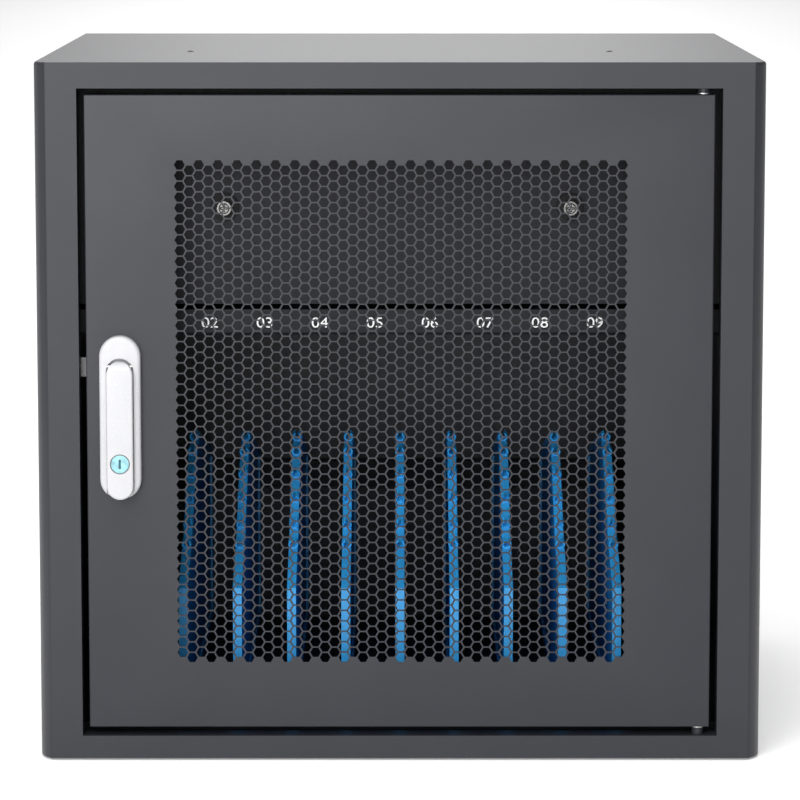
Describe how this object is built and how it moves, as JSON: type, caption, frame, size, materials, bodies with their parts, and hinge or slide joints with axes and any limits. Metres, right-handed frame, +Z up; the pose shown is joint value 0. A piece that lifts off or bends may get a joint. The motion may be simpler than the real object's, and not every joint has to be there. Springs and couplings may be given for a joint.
{
  "type": "laptop charging cabinet",
  "caption": "Free-standing steel cabinet with a perforated swing-handle door, upright dividers for laptops and a charger compartment above them.",
  "frame": {"origin": "middle of the footprint on the floor, handle and rear fittings included", "axes": "+X to the right seen from the front, +Y to the back, +Z up"},
  "size_m": [0.48, 0.454, 0.4649],
  "materials": {
    "grey_paint": "satin powder coat",
    "dark_paint": "satin powder coat",
    "blue_plastic": "fine texture",
    "black_plastic": "fine texture",
    "strip_body": "anodised",
    "rubber": "matt",
    "bright_steel": "zinc plated",
    "handle_silver": "satin silver"
  },
  "bodies": {
    "cabinet": {"base_pan": "grey_paint", "cable_edging": "rubber", "casing": "grey_paint", "cover_bar": "dark_paint", "cover_screws": "bright_steel", "cover_washers": "black_plastic", "divider_01": "blue_plastic", "divider_02": "blue_plastic", "divider_03": "blue_plastic", "divider_04": "blue_plastic", "divider_05": "blue_plastic", "divider_06": "blue_plastic", "divider_07": "blue_plastic", "divider_08": "blue_plastic", "divider_09": "blue_plastic", "divider_tray": "dark_paint", "fan_frame_left": "black_plastic", "fan_frame_right": "black_plastic", "fan_guard_left": "bright_steel", "fan_guard_right": "bright_steel", "fan_screws": "bright_steel", "front_frame": "grey_paint", "hinge_collars": "bright_steel", "hinge_pins": "bright_steel", "hinge_washers": "bright_steel", "number_rail": "dark_paint", "outlets_front": "black_plastic", "outlets_rear": "black_plastic", "power_inlet": "black_plastic", "rear_angles": "grey_paint", "rear_comb": "dark_paint", "rear_panel": "grey_paint", "rear_screws": "bright_steel", "rubber_pads": "rubber", "shelf": "dark_paint", "socket_strip_front": "strip_body", "socket_strip_rear": "strip_body", "switch_frame": "black_plastic", "top_rivets": "bright_steel", "upper_cover": "dark_paint"},
    "front_door": {"door_panel": "grey_paint", "door_stiffener": "grey_paint", "hinge_blocks": "grey_paint", "handle_base": "handle_silver", "lever_pin": "bright_steel"},
    "lever": {"handle_lever": "handle_silver", "lock_cylinder": "bright_steel"},
    "lock_core": {"lock_plug": "bright_steel"},
    "latch": {"latch_spindle": "bright_steel", "latch_cam": "bright_steel", "latch_nut": "bright_steel"},
    "left_fan": {"fan_rotor_left": "black_plastic"},
    "right_fan": {"fan_rotor_right": "black_plastic"},
    "rocker": {"switch_rocker": "black_plastic"}
  },
  "joints": [
    {"name": "door_hinge", "type": "hinge", "parent": "cabinet", "child": "front_door", "pos_m": [0.1985, -0.2075, 0.0167], "axis": [0, 0, 1], "range_deg": [0, 110]},
    {"name": "lever_lift", "type": "hinge", "parent": "front_door", "child": "lever", "pos_m": [-0.184, -0.22, 0.265], "axis": [-1, 0, 0], "range_deg": [0, 35]},
    {"name": "latch_turn", "type": "hinge", "parent": "front_door", "child": "latch", "pos_m": [-0.184, -0.2145, 0.2616], "axis": [0, 1, 0], "range_deg": [0, 90]},
    {"name": "key_turn", "type": "hinge", "parent": "lever", "child": "lock_core", "pos_m": [-0.184, -0.227, 0.201], "axis": [0, 1, 0], "range_deg": [0, 90]},
    {"name": "left_fan_spin", "type": "hinge", "parent": "cabinet", "child": "left_fan", "pos_m": [-0.07, 0.2128, 0.385], "axis": [0, 1, 0], "continuous": true},
    {"name": "right_fan_spin", "type": "hinge", "parent": "cabinet", "child": "right_fan", "pos_m": [0.07, 0.2128, 0.385], "axis": [0, 1, 0], "continuous": true},
    {"name": "rocker_tilt", "type": "hinge", "parent": "cabinet", "child": "rocker", "pos_m": [-0.136, 0.2192, 0.4], "axis": [1, 0, 0], "range_deg": [-9, 9]}
  ],
  "couplings": [
    {"joint": "latch_turn", "follows": "lever_lift", "ratio": 2.5714}
  ]
}
